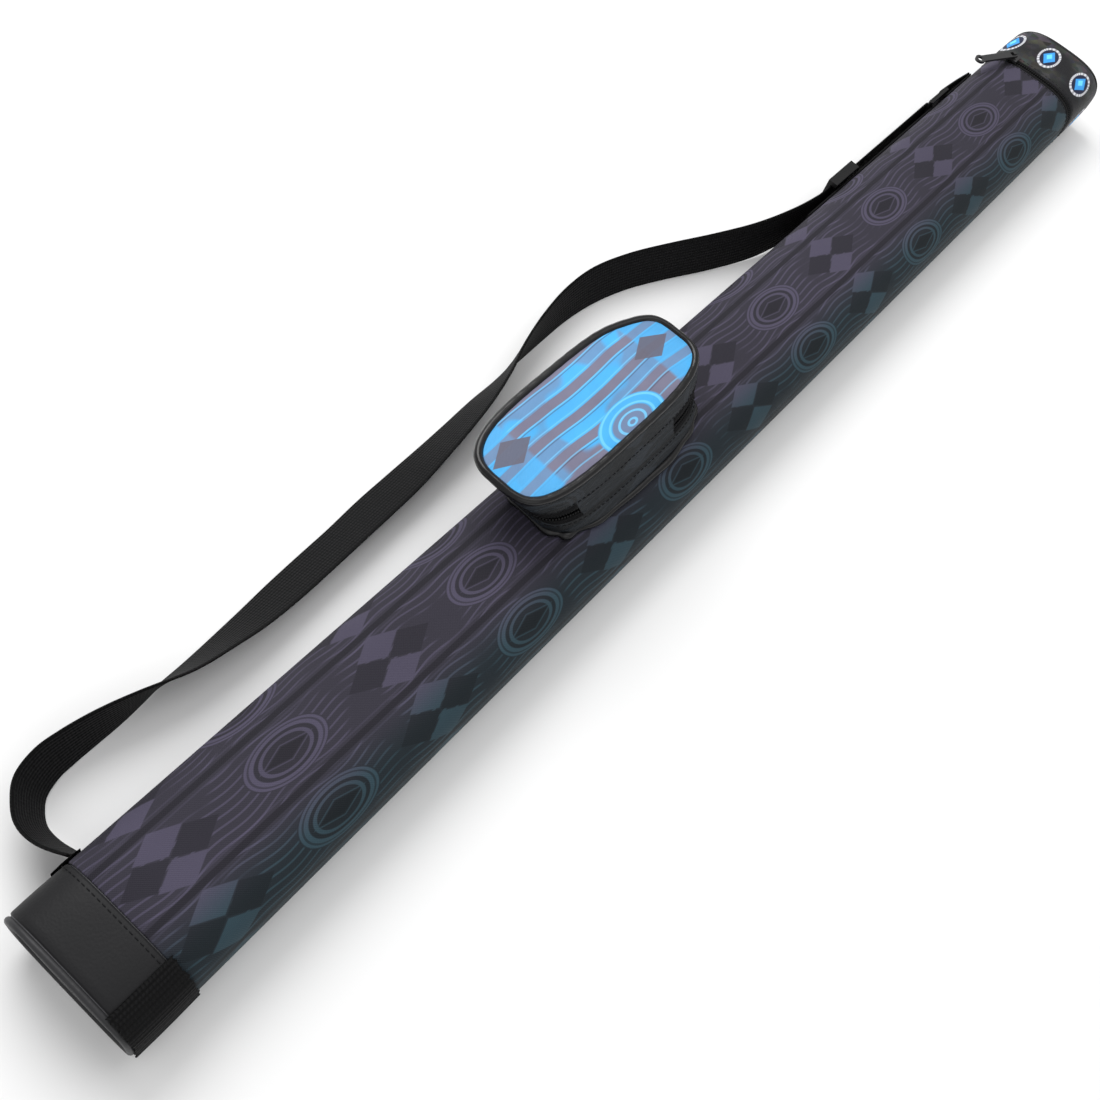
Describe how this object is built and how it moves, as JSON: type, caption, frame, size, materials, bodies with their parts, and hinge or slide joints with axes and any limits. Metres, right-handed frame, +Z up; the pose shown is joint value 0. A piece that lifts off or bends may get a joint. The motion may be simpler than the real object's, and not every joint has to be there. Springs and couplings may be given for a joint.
{
  "type": "cue case",
  "caption": "Slim oval hard case for a two-piece cue, with a zip-around hinged cap, a padded accessory pouch on top and an adjustable webbing shoulder strap.",
  "frame": {"origin": "middle of the case's flat underside, halfway along its length, where it rests on a table", "axes": "+X across the case away from the strap, +Y along the case towards the cap, +Z up through the pouch"},
  "size_m": [0.1338, 0.84, 0.074],
  "materials": {
    "hard_tube": "moulded, satin",
    "foam": "closed-cell foam, matt",
    "liner": "smooth nylon lining",
    "lining_panel": "woven lining",
    "printed_fabric": "tone-on-tone printed canvas",
    "cap_fabric": "printed canvas with small blue motifs",
    "faux_leather": "smooth grain, satin",
    "vinyl_piping": "glossy welt",
    "webbing": "ribbed nylon webbing",
    "zip_tape": "woven zip tape",
    "zip_teeth": "nylon coil",
    "zip_metal": "black enamelled metal",
    "pouch_print": "printed canvas, bright blue and grey",
    "gusset_fabric": "dark printed canvas",
    "buckle_plastic": "moulded acetal, satin"
  },
  "bodies": {
    "case": {"tube_shell": "hard_tube", "tube_end_plug": "hard_tube", "bottom_foam_pad": "foam", "foam_core": "foam", "butt_liner": "liner", "shaft_liner": "liner", "mouth_divider": "lining_panel", "printed_cover": "printed_fabric", "base_collar": "faux_leather", "base_end_panel": "faux_leather", "base_piping": "vinyl_piping", "base_side_tab": "webbing", "cap_hinge_strip": "lining_panel", "body_zip_tape": "zip_tape", "body_zip_teeth": "zip_teeth", "pouch_back_panel": "lining_panel", "pouch_base_piping": "vinyl_piping", "pouch_lower_wall": "gusset_fabric", "pouch_lower_tape": "zip_tape", "pouch_lower_teeth": "zip_teeth", "pouch_hinge_strip": "gusset_fabric", "strap_lower_tab": "webbing", "strap_webbing": "webbing", "strap_return_ply": "webbing", "ring_tab": "webbing"},
    "cap": {"cap_zip_teeth": "zip_teeth", "cap_zip_tape": "zip_tape", "cap_shell": "hard_tube", "cap_cover_band": "cap_fabric", "cap_top_panel": "faux_leather", "cap_piping": "vinyl_piping", "cap_foam_pad": "foam"},
    "cap_slider": {"cap_zip_slider": "zip_metal"},
    "cap_puller": {"cap_zip_puller": "zip_metal"},
    "pouch_lid": {"pouch_upper_teeth": "zip_teeth", "pouch_upper_tape": "zip_tape", "pouch_upper_wall": "gusset_fabric", "pouch_lid_piping": "vinyl_piping", "pouch_lid_panel": "pouch_print", "pouch_hinge_flap": "gusset_fabric"},
    "pouch_slider": {"pouch_zip_slider": "zip_metal"},
    "pouch_puller": {"pouch_zip_puller": "zip_metal"},
    "ring": {"loop_ring": "buckle_plastic", "strap_fold": "webbing"},
    "glide": {"tri_glide": "buckle_plastic"}
  },
  "joints": [
    {"name": "cap_hinge", "type": "hinge", "parent": "case", "child": "cap", "pos_m": [-0.0353, 0.373, 0.022], "axis": [0, 0, 1], "range_deg": [0, 110]},
    {"name": "cap_zip_slide", "type": "slide", "parent": "case", "child": "cap_slider", "axis": [1, 0, 0], "range_m": [0, 0.04]},
    {"name": "cap_puller_swing", "type": "hinge", "parent": "cap_slider", "child": "cap_puller", "pos_m": [-0.021, 0.373, 0.04695], "axis": [-0.8988, 0.4384, 0], "range_deg": [0, 105]},
    {"name": "pouch_lid_hinge", "type": "hinge", "parent": "case", "child": "pouch_lid", "pos_m": [0.0098, -0.092, 0.058], "axis": [0, 1, 0], "range_deg": [0, 110]},
    {"name": "pouch_zip_slide", "type": "slide", "parent": "case", "child": "pouch_slider", "axis": [0, -1, 0], "range_m": [0, 0.056]},
    {"name": "pouch_puller_swing", "type": "hinge", "parent": "pouch_slider", "child": "pouch_puller", "pos_m": [-0.04568, -0.064, 0.05666], "axis": [0, 1, 0], "range_deg": [-12, 110]},
    {"name": "ring_swing", "type": "hinge", "parent": "case", "child": "ring", "pos_m": [-0.0382, 0.322, 0.0162], "axis": [0, 0, -1], "range_deg": [0, 30]},
    {"name": "glide_slide", "type": "slide", "parent": "case", "child": "glide", "axis": [0, 1, 0], "range_m": [0, 0.07]}
  ]
}
